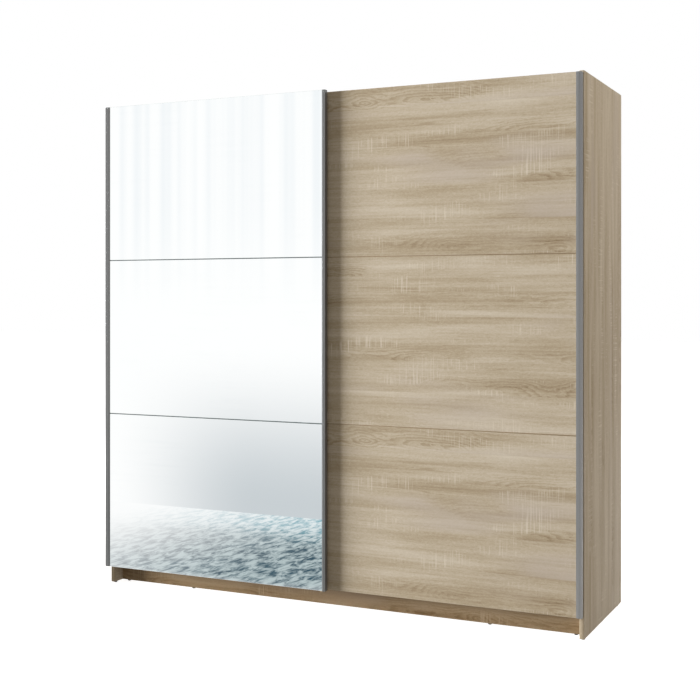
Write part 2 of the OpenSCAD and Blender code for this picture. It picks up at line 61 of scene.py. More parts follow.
bodyOf = {node: body for body, nodes in frame["record"]["behaviour"]["bodies"].items() for node in nodes}
print("frame loaded:", len(cadNodes), "nodes")


def tint(red, green, blue):  # a colour picked on screen, 0 to 255, as the shader wants it
    shares = [c / 255 for c in (red, green, blue)]
    return [((s + 0.055) / 1.055) ** 2.4 if s > 0.04 else s / 12.92 for s in shares] + [1]


class Flow:  # a socket that takes arithmetic
    def __init__(self, recipe, socket):
        self.recipe = recipe
        self.socket = socket

    def math(self, operation, first, second=None):
        values = {0: first} if second is None else {0: first, 1: second}
        return self.recipe.add("ShaderNodeMath", {"operation": operation}, values)

    def __add__(self, other):
        return self.math("ADD", self, other)

    def __radd__(self, other):
        return self.math("ADD", other, self)

    def __sub__(self, other):
        return self.math("SUBTRACT", self, other)

    def __rsub__(self, other):
        return self.math("SUBTRACT", other, self)

    def __mul__(self, other):
        return self.math("MULTIPLY", self, other)

    def __truediv__(self, other):
        return self.math("DIVIDE", self, other)

    def floor(self):
        return self.math("FLOOR", self)

    def part(self):
        return self.math("FRACT", self)

    def size(self):
        return self.math("ABSOLUTE", self)

    def root(self):
        return self.math("SQRT", self)

    def wave(self):
        return self.math("SINE", self)

    def ease(self, low, high, start=0.0, end=1.0):  # a soft step from start to end between low and high
        settings = {"interpolation_type": "SMOOTHSTEP"}
        values = {"Value": self, "From Min": low, "From Max": high, "To Min": start, "To Max": end}
        return self.recipe.add("ShaderNodeMapRange", settings, values)


class Recipe:  # one material and its node tree
    def __init__(self, name, **constants):
        self.material = bpy.data.materials.new(name)
        self.material.use_nodes = True
        self.tree = self.material.node_tree
        self.shader = self.tree.nodes["Principled BSDF"]
        for socket, value in constants.items():
            self.shader.inputs[socket.replace("_", " ")].default_value = value

    def add(self, kind, settings=None, values=None, output=0):
        node = self.tree.nodes.new(kind)
        for key, value in (settings or {}).items():
            if key == "stops":
                self.setStops(node.color_ramp, value)
            else:
                setattr(node, key, value)
        for key, value in (values or {}).items():
            self.feed(node.inputs[key], value)
        return Flow(self, node.outputs[output])

    def feed(self, socket, value):
        if isinstance(value, Flow):
            self.tree.links.new(value.socket, socket)
        else:
            socket.default_value = value

    def setStops(self, ramp, stops):
        while len(ramp.elements) < len(stops):
            ramp.elements.new(0.5)
        for element, (position, colour) in zip(ramp.elements, stops):
            element.position = position
            element.color = colour

    def axes(self, shift=(0, 0, 0)):  # the three object coordinates in metres
        place = self.add("ShaderNodeTexCoord", output="Object")
        place = self.add("ShaderNodeMapping", {}, {"Vector": place, "Location": shift})
        split = self.add("ShaderNodeSeparateXYZ", {}, {0: place})
        return [Flow(self, split.socket.node.outputs[i]) for i in range(3)]

    def noise(self, x, y, detail=2.0, rough=0.5, warp=0.0, seed=0.0):  # noise over a stretched plane, 0 to 1
        place = self.add("ShaderNodeCombineXYZ", {}, {0: x, 1: y, 2: seed})
        values = {"Vector": place, "Scale": 1.0, "Detail": detail, "Roughness": rough, "Distortion": warp}
        return self.add("ShaderNodeTexNoise", {"noise_dimensions": "3D"}, values)

    def ramp(self, value, *stops):
        return self.add("ShaderNodeValToRGB", {"stops": stops}, {0: value})

    def blend(self, amount, first, second):  # a colour between two
        values = {0: amount, 6: first, 7: second}
        return self.add("ShaderNodeMix", {"data_type": "RGBA"}, values, output=2)

    def bump(self, height, depth, strength=1.0):
        values = {"Height": height, "Distance": depth, "Strength": strength}
        self.feed(self.shader.inputs["Normal"], self.add("ShaderNodeBump", {}, values))

    def paint(self, **sockets):
        for socket, value in sockets.items():
            self.feed(self.shader.inputs[socket.replace("_", " ")], value)
        return self.material


oakTones = {
    "late": tint(128, 108, 80),        # the dark late wood of a ring
    "brown": tint(156, 138, 111),
    "honey": tint(174, 158, 132),
    "sand": tint(190, 176, 153),
    "pale": tint(203, 191, 171),
    "rose": tint(186, 173, 160),       # the pinkish grey of the limed zones
    "chalk": tint(214, 203, 184),      # the light saw marks
    "plank": 0.158,                    # mean width of a plank in the print
    "ring": 0.0100,                    # pitch of the growth rings
}


def oakPrint(name, along, across, shift, shade=None, marks=1.0):
    wood = Recipe(name, Specular_IOR_Level=0.22)
    axes = wood.axes(shift)
    a, c = axes[along], axes[across]
    plank = c / oakTones["plank"] + (c * 17.0).wave() * 0.16
    number = plank.floor()
    inPlank = plank.part()
    dice = wood.add("ShaderNodeTexWhiteNoise", {"noise_dimensions": "1D"}, {"W": number})
    slide = a + dice * 9.0                                  # every plank is cut elsewhere from the log
    bend = wood.noise(slide * 0.9, c * 2.4, 1.0, seed=2.0) - 0.5
    heart = (inPlank - 0.06) * oakTones["plank"] + bend * 0.12   # the heart lies near the plank's lower edge
    depth = (wood.noise(slide * 1.9, number * 3.1 + c * 1.2, 1.0, seed=5.0) - 0.47) * 0.34
    radius = (heart * heart + depth * depth).root()
    rough = wood.noise(slide * 12.0, c * 60.0, 3.0, 0.65, 0.6, 8.0)
    rings = (radius / oakTones["ring"] + rough * 2.0).part()
    ringLine = rings.ease(0.30, 0.95) * rings.ease(0.97, 1.0, 1.0, 0.0)
    figure = wood.noise(slide * 1.4, c * 4.5, 2.0, 0.5, 0.3, 11.0).ease(0.46, 0.62)
    low = inPlank.ease(0.15, 0.65, 1.0, 0.15)               # the figure fades towards the plank's upper edge
    zone = wood.noise(slide * 1.15, c * 15.0 + number * 4.0, 3.0, 0.6, 0.2, 14.0)
    streak = wood.noise(slide * 1.3, c * 95.0, 3.0, 0.6, 0.15, 17.0)
    seamLine = wood.noise(slide * 0.75, c * 30.0, 1.0, 0.5, 0.0, 20.0)
    seamLine = (seamLine - 0.5).size().ease(0.0, 0.013, 1.0, 0.0)
    seamLine = seamLine * wood.noise(slide * 1.4, c * 9.0, 1.0, seed=23.0).ease(0.50, 0.66)
    fibre = wood.noise(slide * 26.0, c * 480.0, 2.0, 0.6, 0.0, 26.0)
    ripple = wood.noise(slide * 80.0, c * 190.0, 2.0, 0.55, 1.2, 29.0)
    tone = 0.66 + (zone - 0.5) * 1.15 + (streak - 0.5) * 0.45 + (dice - 0.5) * 0.12
    tone = tone + (fibre - 0.5) * 0.22 + (ripple - 0.5) * 0.48 - ringLine * figure * low * 0.25
    tone = tone - figure * low * 0.12 - seamLine * 0.20
    colour = wood.ramp(
        tone, (0.0, oakTones["late"]), (0.26, oakTones["brown"]), (0.50, oakTones["honey"]),
        (0.72, oakTones["sand"]), (0.96, oakTones["pale"]))
    limed = wood.noise(slide * 0.9, c * 5.0, 2.0, 0.5, 0.0, 32.0).ease(0.50, 0.68) * (1 - figure) * 0.55
    colour = wood.blend(limed, colour, oakTones["rose"])
    stroke = wood.noise(a * 190.0, c * 5.0, 1.0, 0.4, 0.0, 35.0).ease(0.52, 0.68)
    patch = wood.noise(a * 2.9, c * 12.5, 2.0, 0.5, 0.0, 38.0).ease(0.53, 0.65)
    hatch = wood.noise(a * 4.0, c * 190.0, 1.0, 0.4, 0.0, 41.0).ease(0.56, 0.70)
    sawn = (stroke + hatch * 0.5) * patch * marks
    colour = wood.blend(sawn * 0.52, colour, oakTones["chalk"])
    # shade multiplies the print's colour: on the plinth this is painted shade with painted warm bounce light,
    # on the edge bands it lightens them slightly
    if shade:
        colour = wood.add("ShaderNodeMix", {"data_type": "RGBA", "blend_type": "MULTIPLY"},
                          {0: 1.0, 6: colour, 7: (*shade, 1)}, output=2)
    height = fibre * 0.5 + ripple * 0.3 - ringLine * figure * 0.4 + sawn * 0.5
    wood.bump(height, 0.00025, 0.35)
    return wood.paint(Base_Color=colour, Roughness=0.62 - fibre * 0.12 - sawn * 0.06)


def mirrorSilver():
    glass = Recipe("mirrorSilver", Metallic=1.0)
    x, y, z = glass.axes()
    haze = glass.noise(x * 3.0, z * 3.0, 3.0, 0.6)
    wipe = glass.noise(x * 2.0 + z * 1.4, z * 38.0, 2.0, 0.5, 0.4, 3.0)
    film = haze.ease(0.45, 0.75) * wipe.ease(0.4, 0.7)
    colour = glass.blend(film, (0.972, 0.984, 0.982, 1), (0.950, 0.966, 0.966, 1))
    return glass.paint(Base_Color=colour, Roughness=0.012 + film * 0.020)


def glassEdge():
    glass = Recipe("glassEdge", Specular_IOR_Level=0.7)
    x, y, z = glass.axes()
    grind = glass.noise(x * 260.0 + z * 260.0, y * 900.0, 2.0)
    colour = glass.blend(grind, tint(96, 128, 120), tint(140, 168, 158))
    glass.bump(grind, 0.0001, 0.3)
    return glass.paint(Base_Color=colour, Roughness=0.16 + grind * 0.14)


def brushedMetal(name, along, dark, light, low, high, metallic=1.0):
    metal = Recipe(name, Metallic=metallic)
    axes = metal.axes()
    others = [axes[i] for i in range(3) if i != along]
    cross = others[0] + others[1] * 1.7
    brush = metal.noise(axes[along] * 7.0, cross * 1500.0, 2.0, 0.6)
    cloud = metal.noise(axes[along] * 1.6, cross * 14.0, 2.0, 0.5, 0.0, 4.0)
    mix = brush * 0.55 + cloud * 0.45
    metal.bump(brush, 0.00006, 0.25)
    return metal.paint(Base_Color=metal.blend(mix, dark, light), Roughness=mix.ease(0.2, 0.8, low, high))


def zincPlate():
    zinc = Recipe("zincPlate", Metallic=1.0)
    x, y, z = zinc.axes()
    place = zinc.add("ShaderNodeCombineXYZ", {}, {0: x * 160.0, 1: y * 160.0, 2: z * 160.0})
    flake = zinc.add("ShaderNodeTexVoronoi", {"voronoi_dimensions": "3D"}, {"Vector": place, "Scale": 1.0}, 1)
    grey = zinc.add("ShaderNodeRGBToBW", {}, {0: flake})
    stain = zinc.noise(x * 24.0, z * 24.0 + y * 15.0, 3.0, 0.6)
    colour = zinc.blend(grey * 0.6 + stain * 0.4, tint(150, 154, 158), tint(198, 202, 205))
    zinc.bump(grey, 0.00004, 0.2)
    return zinc.paint(Base_Color=colour, Roughness=stain.ease(0.3, 0.7, 0.28, 0.46))


def chromeTube():
    chrome = Recipe("chromeTube", Metallic=1.0)
    x, y, z = chrome.axes()
    touch = chrome.noise(x * 11.0, z * 90.0 + y * 60.0, 3.0, 0.6)
    colour = chrome.blend(touch, tint(206, 209, 212), tint(228, 230, 232))
    return chrome.paint(Base_Color=colour, Roughness=touch.ease(0.4, 0.7, 0.06, 0.16))


def mouldedPlastic(name, dark, light, low, high):
    plastic = Recipe(name, Specular_IOR_Level=0.45)
    x, y, z = plastic.axes()
    grain = plastic.noise(x * 1400.0, z * 1400.0 + y * 900.0, 2.0, 0.5)
    wear = plastic.noise(x * 35.0, z * 35.0 + y * 20.0, 3.0, 0.6, 0.0, 3.0)
    plastic.bump(grain, 0.00008, 0.4)
    colour = plastic.blend(wear.ease(0.35, 0.75), dark, light)
    return plastic.paint(Base_Color=colour, Roughness=wear.ease(0.3, 0.7, low, high))


def whiteBoard():
    board = Recipe("whiteBoard", Specular_IOR_Level=0.4)
    x, y, z = board.axes()
    mottle = board.noise(x * 260.0, z * 260.0, 3.0, 0.6)
    cloud = board.noise(x * 2.2, z * 2.2, 3.0, 0.5, 0.0, 5.0)
    scuff = board.noise(x * 5.0, z * 60.0, 2.0, 0.6, 0.4, 9.0).ease(0.66, 0.74)
    colour = board.blend(mottle * 0.5 + cloud * 0.5, tint(226, 224, 217), tint(240, 238, 232))
    colour = board.blend(scuff * 0.25, colour, tint(206, 202, 194))
    board.bump(mottle, 0.00012, 0.3)
    return board.paint(Base_Color=colour, Roughness=mottle.ease(0.3, 0.7, 0.42, 0.55))


def beechWood():
    beech = Recipe("beechWood", Specular_IOR_Level=0.3)
    x, y, z = beech.axes()
    fleck = beech.noise(x * 60.0, y * 900.0 + z * 900.0, 2.0, 0.6)
    line = beech.noise(x * 18.0, y * 300.0 + z * 300.0, 2.0, 0.5, 0.0, 3.0)
    colour = beech.blend(fleck * 0.5 + line * 0.5, tint(186, 146, 104), tint(216, 182, 138))
    beech.bump(fleck, 0.0001, 0.4)
    return beech.paint(Base_Color=colour, Roughness=fleck.ease(0.3, 0.7, 0.55, 0.7))


# the top and bottom boards of the oak door are cut from the same stretch of the print
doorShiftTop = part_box("oak_panel_top")[0].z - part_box("oak_panel_bottom")[0].z
finish = {
    "doorLow": oakPrint("oakDoorLow", 0, 2, (0.0, 0.0, 3.10)),
    "doorMiddle": oakPrint("oakDoorMiddle", 0, 2, (5.3, 0.0, 6.40)),
    "doorTop": oakPrint("oakDoorTop", 0, 2, (0.0, 0.0, 3.10 - doorShiftTop)),
    "sideLeft": oakPrint("oakSideLeft", 2, 1, (0.0, 4.20, 1.1)),
    "sideRight": oakPrint("oakSideRight", 2, 1, (0.0, 8.70, 6.3)),
    "upright": oakPrint("oakUpright", 2, 1, (0.0, 2.60, 9.2)),
    "lying": oakPrint("oakLying", 0, 1, (2.2, 1.90, 0.0)),
    # the plinth's multiply is painted shade from the doors above, warmed as painted bounce light
    "plinth": oakPrint("oakPlinthPaintedShade", 0, 2, (7.7, 0.0, 9.5), (0.62, 0.53, 0.425)),
    "edgeAcross": oakPrint("oakEdgeAcross", 0, 2, (3.3, 0.0, 12.0), (1.03, 1.02, 1.0), 0.0),
    "edgeUp": oakPrint("oakEdgeUp", 2, 0, (1.7, 0.0, 4.0), (1.03, 1.02, 1.0), 0.0),
    "mirror": mirrorSilver(),
    "glassEdge": glassEdge(),
    "grip": brushedMetal("gripMetal", 2, tint(116, 116, 115), tint(128, 128, 127), 0.40, 0.50, 0.72),
    "rail": brushedMetal("railMetal", 0, tint(150, 151, 152), tint(178, 179, 180), 0.28, 0.40),
    "zinc": zincPlate(),
    "chrome": chromeTube(),
    "black": mouldedPlastic("blackPlastic", tint(26, 26, 27), tint(40, 40, 42), 0.42, 0.56),
    "brown": mouldedPlastic("brownPlastic", tint(146, 126, 98), tint(162, 142, 114), 0.45, 0.58),
    "grey": mouldedPlastic("greyPlastic", tint(92, 93, 95), tint(112, 113, 115), 0.38, 0.50),
    "white": whiteBoard(),
    "beech": beechWood(),
}
print("finishes mixed:", len(finish))


def onlySelect(piece):
    bpy.ops.object.select_all(action="DESELECT")
    piece.select_set(True)
    bpy.context.view_layer.objects.active = piece


def choose(piece, kind, test):  # selects the edges or faces that pass the test, and stays in edit mode
    onlySelect(piece)
    bpy.ops.object.mode_set(mode="EDIT")
    bpy.ops.mesh.select_mode(type=kind)
    bpy.ops.mesh.select_all(action="DESELECT")
    bpy.ops.object.mode_set(mode="OBJECT")
    mesh = piece.data
    if kind == "FACE":
        for face in mesh.polygons:
            face.select = test(face.center, face.normal)
    else:
        for edge in mesh.edges:
            ends = [mesh.vertices[i].co for i in edge.vertices]
            edge.select = test((ends[0] + ends[1]) / 2, (ends[1] - ends[0]).normalized())
    bpy.ops.object.mode_set(mode="EDIT")


def leaveEdit():
    bpy.ops.object.mode_set(mode="OBJECT")


def addBlock(name, low, high):
    bpy.ops.object.select_all(action="DESELECT")
    bpy.ops.mesh.primitive_cube_add(size=1, location=(Vector(low) + Vector(high)) / 2)
    block = bpy.context.active_object
    block.name = name
    block.scale = Vector(high) - Vector(low)
    bpy.ops.object.transform_apply(location=True, rotation=True, scale=True)
    return block


def arc(centreU, centreV, radius, start, end, steps):
    turns = [math.radians(start + (end - start) * i / steps) for i in range(steps + 1)]
    return [(centreU + radius * math.cos(t), centreV + radius * math.sin(t)) for t in turns]


def extrudeOutline(name, outline, place, start, end):  # place(u, v, w) turns outline points into the frame
    bpy.ops.object.select_all(action="DESELECT")
    bpy.ops.mesh.primitive_circle_add(vertices=len(outline), fill_type="NGON")
    piece = bpy.context.active_object
    piece.name = name
    for vertex, (u, v) in zip(piece.data.vertices, outline):
        vertex.co = place(u, v, start)
    bpy.ops.object.mode_set(mode="EDIT")
    bpy.ops.mesh.select_all(action="SELECT")
    step = Vector(place(0, 0, end)) - Vector(place(0, 0, start))
    bpy.ops.mesh.extrude_region_move(TRANSFORM_OT_translate={"value": step})
    bpy.ops.mesh.select_all(action="SELECT")
    bpy.ops.mesh.normals_make_consistent(inside=False)
    leaveEdit()
    return piece


def spinOutline(name, outline, centre, steps):  # outline points are (radius, distance along Y)
    bpy.ops.object.select_all(action="DESELECT")
    bpy.ops.mesh.primitive_circle_add(vertices=len(outline), fill_type="NOTHING")
    piece = bpy.context.active_object
    piece.name = name
    for vertex, (radius, depth) in zip(piece.data.vertices, outline):
        vertex.co = Vector(centre) + Vector((radius, depth, 0))
    bpy.ops.object.mode_set(mode="EDIT")
    bpy.ops.mesh.select_all(action="SELECT")
    bpy.ops.mesh.spin(steps=steps, angle=2 * math.pi, center=centre, axis=(0, 1, 0))
    bpy.ops.mesh.select_all(action="SELECT")
    bpy.ops.mesh.remove_doubles(threshold=1e-6)
    bpy.ops.mesh.normals_make_consistent(inside=False)
    leaveEdit()
    return piece


def joinPieces(name, parts):
    bpy.ops.object.select_all(action="DESELECT")
    for part in parts:
        part.select_set(True)
    bpy.context.view_layer.objects.active = parts[0]
    bpy.ops.object.join()
    parts[0].name = name
    return parts[0]


def softenBy(piece, width, segments, angle):  # rounds every edge sharper than the angle
    onlySelect(piece)
    soften = piece.modifiers.new("soften", "BEVEL")
    soften.width = width
    soften.segments = segments
    soften.limit_method = "ANGLE"
    soften.angle_limit = math.radians(angle)
    soften.use_clamp_overlap = True
    bpy.ops.object.modifier_apply(modifier="soften")


def copyNode(node, name):  # a merged copy of a CAD node, ready for more work
    piece = bpy.data.objects.new(name, cadNodes[node].data.copy())
    bpy.context.scene.collection.objects.link(piece)
    onlySelect(piece)
    bpy.ops.mesh.customdata_custom_splitnormals_clear()
    bpy.ops.object.mode_set(mode="EDIT")
    bpy.ops.mesh.select_mode(type="VERT")
    bpy.ops.mesh.select_all(action="SELECT")
    bpy.ops.mesh.remove_doubles(threshold=1e-6)
    bpy.ops.mesh.dissolve_limited(angle_limit=math.radians(0.5))
    leaveEdit()
    return piece


def dress(piece, node, main, others=(), smooth=32):  # finish, body and the nodes it stands for
    nodes = [node] if isinstance(node, str) else list(node)
    onlySelect(piece)
    bpy.ops.object.shade_smooth_by_angle(angle=math.radians(smooth))
    piece.data.materials.clear()
    for key in (main, *others):
        piece.data.materials.append(finish[key])
    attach(piece, bodyOf[nodes[0]])
    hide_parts(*nodes)


def paintFaces(piece, index, test):
    for face in piece.data.polygons:
        if test(face.center, face.normal):
            face.material_index = index


boardValues = {
    "arris": 0.0006,       # the rounding of the outer edges
    "steps": 2,
    "band": 0.0008,        # the edge band, as it shows on the face
    "past": 0.01,          # how far the groove's cutter runs out of the board
    "near": 1e-6,          # what counts as lying on the box
    "edgeFace": 1e-5,      # keeps the rounding's last faces in the band
}


def thinAxis(low, high):  # the axis along which the board is thinnest
    size = high - low
    return min(range(3), key=lambda i: size[i])


def easeArrises(board, low, high):  # rounds the edges that lie on two sides of the board's box
    def onBox(point, i):
        return min(abs(point[i] - low[i]), abs(point[i] - high[i])) < boardValues["near"]

    choose(board, "EDGE", lambda mid, way: sum(onBox(mid, i) for i in range(3)) >= 2)
    bpy.ops.mesh.bevel(offset=boardValues["arris"], segments=boardValues["steps"], affect="EDGES")
    leaveEdit()


def cutWith(piece, cutter):
    onlySelect(piece)
    cut = piece.modifiers.new("cut", "BOOLEAN")
    cut.operation = "DIFFERENCE"
    cut.solver = "EXACT"
    cut.object = cutter
    bpy.ops.object.modifier_apply(modifier="cut")
    bpy.data.objects.remove(cutter)


def bandedBoard(node, main, edge, name=None, grooveNode=None):  # an undrilled board with its edge bands
    low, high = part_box(node)
    flat = thinAxis(low, high)
    board = addBlock(name or node + "_board", low, high)
    choose(board, "FACE", lambda centre, normal: abs(normal[flat]) > 0.9)
    bpy.ops.mesh.inset(thickness=boardValues["band"], use_individual=True)
    leaveEdit()
    easeArrises(board, low, high)
    if grooveNode:
        grooveLow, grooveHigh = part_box(grooveNode)
        past = boardValues["past"]
        cutter = addBlock("cutter", grooveLow - Vector((past, 0, past)), grooveHigh + Vector((past, 0, 0)))
        cutWith(board, cutter)
    bandFrom = boardValues["band"] + boardValues["edgeFace"]

    def inBand(point):
        return any(not low[i] + bandFrom < point[i] < high[i] - bandFrom for i in range(3) if i != flat)

    dress(board, node, main, (edge,))
    paintFaces(board, 1, lambda centre, normal: abs(normal[flat]) < 0.9 or inBand(centre))


def drilledBoard(node, main, edge):  # keeps the fittings' seats, with eased outer edges
    low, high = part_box(node)
    flat = thinAxis(low, high)
    board = copyNode(node, node + "_board")
    easeArrises(board, low, high)
    for vertex in board.data.vertices:  # the eased corners stay inside the board's own box
        vertex.co = [min(max(vertex.co[i], low[i]), high[i]) for i in range(3)]
    dress(board, node, main, (edge,))
    paintFaces(board, 1, lambda centre, normal: abs(normal[flat]) < 0.9)


bandedBoard("oak_panel_bottom", "doorLow", "edgeAcross", grooveNode="oak_groove_liner")
bandedBoard("oak_panel_middle", "doorMiddle", "edgeAcross")
bandedBoard("oak_panel_top", "doorTop", "edgeAcross")
bandedBoard("plinth_front", "plinth", "edgeAcross")
bandedBoard("plinth_rear", "plinth", "edgeAcross")
for shelfNumber in range(1, 5):
    bandedBoard("shelf_right_%d" % shelfNumber, "lying", "edgeAcross")
drilledBoard("side_left", "sideLeft", "edgeUp")
drilledBoard("side_right", "sideRight", "edgeUp")
drilledBoard("centre_partition", "upright", "edgeUp")
for node in ("top_panel", "bottom_panel", "hat_shelf_left", "hat_shelf_right"):
    drilledBoard(node, "lying", "edgeAcross")
print("oak boards built")


paneValues = {"arris": 0.0012, "steps": 3, "smooth": 10}


def mirrorPane(node):
    low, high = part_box(node)
    pane = addBlock(node + "_glass", low, high)
    choose(pane, "FACE", lambda centre, normal: normal.y < -0.9)
    bpy.ops.mesh.bevel(offset=paneValues["arris"], segments=paneValues["steps"], affect="EDGES")
    leaveEdit()
    # the low smoothing angle keeps the silvered face optically flat
    dress(pane, node, "mirror", ("glassEdge", "grey"), paneValues["smooth"])
    paintFaces(pane, 1, lambda centre, normal: abs(normal.y) < 0.95)
    paintFaces(pane, 2, lambda centre, normal: normal.y > 0.9)


for level in ("top", "middle", "bottom"):
    mirrorPane("mirror_pane_" + level)
    bandedBoard("mirror_board_" + level, "white", "white", "mirror_board_%s_backing" % level,
                "mirror_groove_liner" if level == "bottom" else None)
print("mirror door built")


gripValues = {
    "round": 0.0013,       # outer corner
    "slope": 0.40,         # share of the face that falls towards the panel
    "slopeSteps": 8,
    "lipEdge": 0.0011,     # height of the face's inner edge above the panel
    "wall": 0.0016,
    "backLip": 0.010,
    "backThick": 0.0012,
    "backRound": 0.0005,   # outer corner at the back
    "groove": 0.0005,      # radius of the fine groove along the face
    "grooveAt": 0.36,      # where it runs, as a share of the face
    "endArris": 0.0002,
}


def gripOutline(width, proud, depth):
    corner = gripValues["round"]
    slopeFrom = width * (1 - gripValues["slope"])
    fall = proud - gripValues["lipEdge"]
    shares = [i / gripValues["slopeSteps"] for i in range(gripValues["slopeSteps"] + 1)]
    slope = [(slopeFrom + (width - slopeFrom) * t, fall * (1 - math.cos(math.pi / 2 * t))) for t in shares]
    wall, backLip, backRound = gripValues["wall"], gripValues["backLip"], gripValues["backRound"]
    backFace = depth - gripValues["backThick"]
    return (
        arc(corner, corner, corner, 180, 270, 5)
        + arc(width * gripValues["grooveAt"], 0, gripValues["groove"], 180, 0, 4)
        + slope
        + [(width, proud), (wall, proud), (wall, backFace), (backLip, backFace), (backLip, depth)]
        + arc(backRound, depth - backRound, backRound, 90, 180, 3)
    )


def gripProfile(node, panel, side):  # side is 1 at the door's left edge and -1 at its right edge
    low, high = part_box(node)
    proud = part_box(panel)[0].y - low.y
    outline = gripOutline(high.x - low.x, proud, high.y - low.y)
    edge = low.x if side > 0 else high.x

    def place(u, v, w):
        return (edge + side * u, low.y + v, w)

    grip = extrudeOutline(node + "_profile", outline, place, low.z, high.z)
    choose(grip, "FACE", lambda centre, normal: abs(normal.z) > 0.9)
    bpy.ops.mesh.bevel(offset=gripValues["endArris"], segments=1, affect="EDGES")
    leaveEdit()
    dress(grip, node, "grip", smooth=40)


gripProfile("mirror_grip_left", "mirror_pane_middle", 1)
gripProfile("mirror_grip_right", "mirror_pane_middle", -1)
gripProfile("oak_grip_left", "oak_panel_middle", 1)
gripProfile("oak_grip_right", "oak_panel_middle", -1)
print("grips built")


stripValues = {
    "bead": 0.0009,        # depth of the rounded front edge
    "beadSteps": 6,
    "plateThick": 0.0012,  # the plate that laps the boards behind the seam
    "plateHalf": 0.008,
    "plateIn": 0.0184,     # clear of the grips' back lips
    "plateRound": 0.0003,
}


def seamStrips(node, boards, main):
    low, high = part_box(node)
    parts = []
    for below, above in zip(boards, boards[1:]):
        floorZ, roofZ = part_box(below)[1].z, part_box(above)[0].z
        half = (roofZ - floorZ) / 2
        mid = (roofZ + floorZ) / 2
        bead = stripValues["bead"]
        front = [(u, v * half / bead) for u, v in arc(bead, 0, bead, 90, 270, stripValues["beadSteps"])]
        plateFront = high.y - stripValues["plateThick"]
        outline = front + [(plateFront - low.y, -half), (plateFront - low.y, half)]

        def place(u, v, w):
            return (w, low.y + u, mid + v)

        parts.append(extrudeOutline("strip", outline, place, low.x, high.x))
        inset, plateHalf = stripValues["plateIn"], stripValues["plateHalf"]
        plateLow = (low.x + inset, plateFront, mid - plateHalf)
        plateHigh = (high.x - inset, high.y, mid + plateHalf)
        plate = addBlock("plate", plateLow, plateHigh)
        softenBy(plate, stripValues["plateRound"], 1, 40)
        parts.append(plate)
    dress(joinPieces(node + "_profile", parts), node, main)


seamStrips("oak_joint_strips", ["oak_panel_bottom", "oak_panel_middle", "oak_panel_top"], "brown")
seamStrips("mirror_joint_strips", ["mirror_pane_bottom", "mirror_pane_middle", "mirror_pane_top"], "grey")


rollerValues = {
    "bore": 0.00305,
    "hub": 0.0055,
    "dish": 0.0012,        # depth of the hollow in each side
    "round": 0.0004,       # chamfers of the hub and the flanges
    "flangeIn": 0.0014,    # width of a flange's side face
    "grooveTop": 0.0026,   # half widths of the groove
    "grooveFoot": 0.0016,
    "grooveDeep": 0.0015,
    "steps": 48,
}


def roller(node):
    low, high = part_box(node)
    centre = (low + high) / 2
    radius = (high.z - low.z) / 2
    half = (high.y - low.y) / 2
    bore, hub, dish, chamfer = [rollerValues[key] for key in ("bore", "hub", "dish", "round")]
    flange = radius - rollerValues["flangeIn"]
    front = [
        (bore, -half), (hub, -half), (hub + chamfer, -half + dish), (flange - chamfer, -half + dish),
        (flange, -half), (radius - chamfer, -half), (radius, -half + chamfer),
        (radius, -rollerValues["grooveTop"]),
        (radius - rollerValues["grooveDeep"], -rollerValues["grooveFoot"]),
    ]
    rear = [(u, -v) for u, v in reversed(front)]
    wheel = spinOutline(node + "_wheel", front + rear, centre, rollerValues["steps"])
    dress(wheel, node, "black", smooth=30)


for door in ("oak", "mirror"):
    for side in ("left", "right"):
        roller("%s_roller_%s" % (door, side))
print("seams and rollers built")


fittingValues = {"round": 0.0004, "steps": 2, "sharp": 50}
hardware = {
    "zinc": ("oak_hanger_left", "oak_hanger_right", "mirror_hanger_left", "mirror_hanger_right",
             "wall_brackets"),
    "black": ("track_stops",),
    "brown": ("floor_guide",),
    "chrome": ("hanging_rail_holders",),
    "rail": ("top_rail",),
}
for main, nodes in hardware.items():
    for node in nodes:
        part = copyNode(node, node + "_part")
        softenBy(part, fittingValues["round"], fittingValues["steps"], fittingValues["sharp"])
        dress(part, node, main)

plainNodes = {
    "zinc": ("cam_locks", "cam_bolts", "shelf_pins", "back_nails", "top_rail_screws", "floor_guide_screws",
             "mirror_hanger_screws", "mirror_axles", "oak_hanger_screws", "oak_axles"),
    "black": ("floor_glides", "mirror_groove_liner", "oak_groove_liner"),
    "chrome": ("hanging_rail",),
    "white": ("back_panels_upper", "back_panels_lower", "back_joint_strips"),
    "beech": ("dowels",),
    "plinth": ("plinth_braces",),
}
for key, nodes in plainNodes.items():
    for node in nodes:
        carried = cadNodes[node]
        if not carried.material_slots:
            carried.data.materials.append(finish[key])
        for materialSlot in carried.material_slots:
            materialSlot.material = finish[key]
print("hardware dressed")


studio = {
    "floorSize": 60.0,
    "floorGlow": 0.92,
    "drape": (-2.3, -2.1, 4.4, 3.6),          # a glowing sheet that only the mirror sees, a painted reflection of a pleated drape: x, y, width, height
    "pleat": 0.21,
    "rug": (-1.3, -1.25, 0.004, 3.6, 1.7),    # a glowing sheet on the floor that only the mirror sees, a painted reflection of a woven rug: centre, length, depth
    "flag": (-0.3, -6.0, -1.08, 3.2),         # shades the left side from the window: y, far and near x, top
    "worldShow": 1.0,
    "worldLight": 0.23,
    "worldTint": (1.0, 0.91, 0.79, 1),
}


def pageWhite():
    white = Recipe("floorWhite", Roughness=0.9, Specular_IOR_Level=0.1)
    x, y, z = white.axes()
    cloud = white.noise(x * 0.6, y * 0.6, 2.0)
    white.shader.inputs["Emission Color"].default_value = (1, 1, 1, 1)
    white.shader.inputs["Emission Strength"].default_value = studio["floorGlow"]
    return white.paint(Base_Color=white.blend(cloud, (0.58, 0.58, 0.58, 1), (0.62, 0.62, 0.62, 1)))
